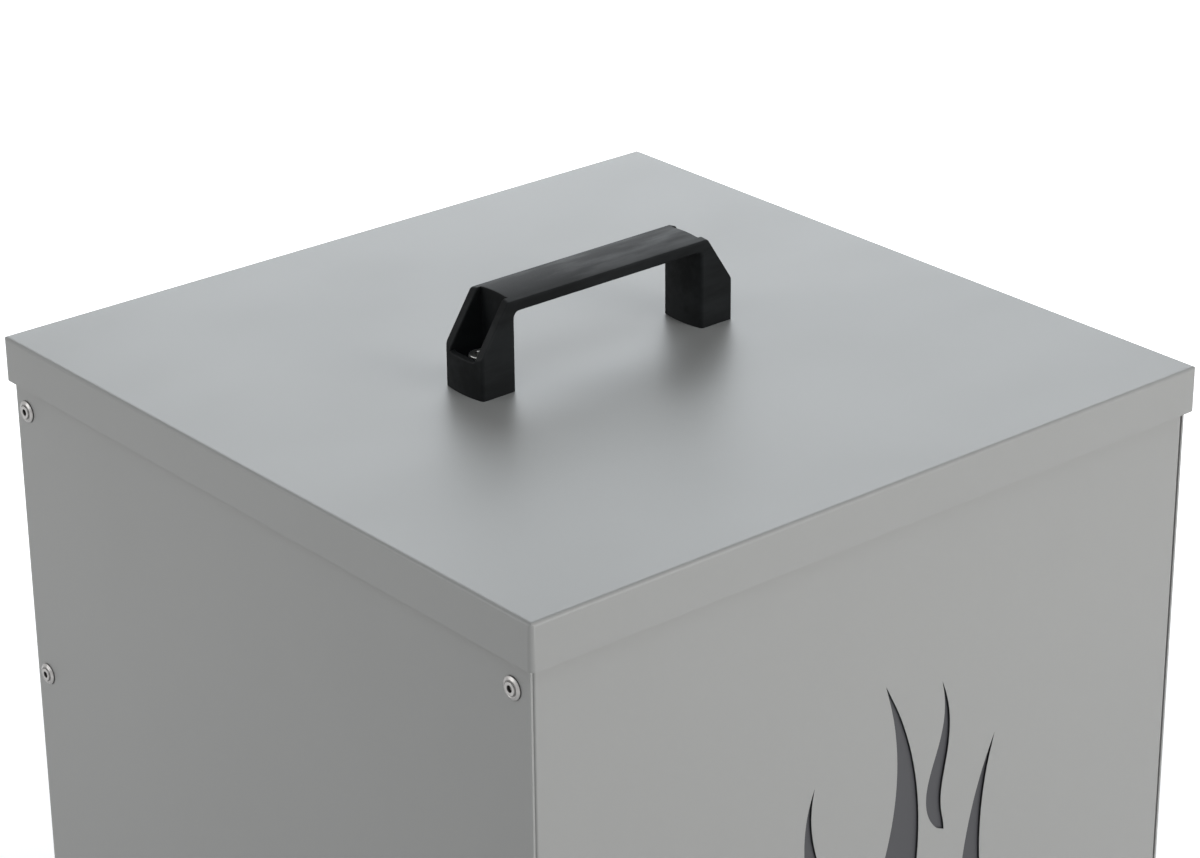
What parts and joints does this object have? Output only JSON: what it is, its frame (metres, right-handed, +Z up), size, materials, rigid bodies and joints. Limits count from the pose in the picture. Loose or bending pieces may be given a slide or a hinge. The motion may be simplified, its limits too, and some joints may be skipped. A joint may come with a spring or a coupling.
{
  "type": "pellet storage bin",
  "caption": "Square sheet steel bin for stove pellets, with a riveted body, a cut-out flame motif and a lift-off lid with a bridge handle.",
  "frame": {"origin": "on the floor under the middle of the bin", "axes": "+Z up, the front panel with the flame motif faces -Y, +X to the right seen from the front"},
  "size_m": [0.29, 0.29, 0.5083],
  "materials": {
    "grey_paint": "satin light grey powder coat",
    "dark_paint": "matt dark grey powder coat",
    "handle_plastic": "satin black moulded plastic",
    "rivet_metal": "plain metal",
    "stem_steel": "broken steel",
    "zinc_steel": "bright zinc plate",
    "foot_rubber": "matt black"
  },
  "bodies": {
    "bin": {"front_panel": "grey_paint", "motif_backing_plate": "dark_paint", "back_panel": "grey_paint", "left_side_panel": "grey_paint", "right_side_panel": "grey_paint", "floor_pan": "grey_paint", "rivets_left_front": "rivet_metal", "rivets_left_back": "rivet_metal", "rivets_right_front": "rivet_metal", "rivets_right_back": "rivet_metal", "rivets_floor_left": "rivet_metal", "rivets_floor_right": "rivet_metal", "rivet_stems_left": "stem_steel", "rivet_stems_right": "stem_steel", "foot_front_left": "foot_rubber", "foot_front_right": "foot_rubber", "foot_back_left": "foot_rubber", "foot_back_right": "foot_rubber", "foot_washers": "zinc_steel", "foot_screws": "zinc_steel", "foot_nuts": "zinc_steel"},
    "lid": {"lid_shell": "grey_paint", "bridge_handle": "handle_plastic", "handle_screw_left": "zinc_steel", "handle_screw_right": "zinc_steel", "handle_washer_left": "zinc_steel", "handle_washer_right": "zinc_steel", "handle_nut_left": "zinc_steel", "handle_nut_right": "zinc_steel"}
  },
  "joints": [
    {"name": "lid_lift", "type": "slide", "parent": "bin", "child": "lid", "axis": [0, 0, 1], "range_m": [0, 0.15]}
  ]
}
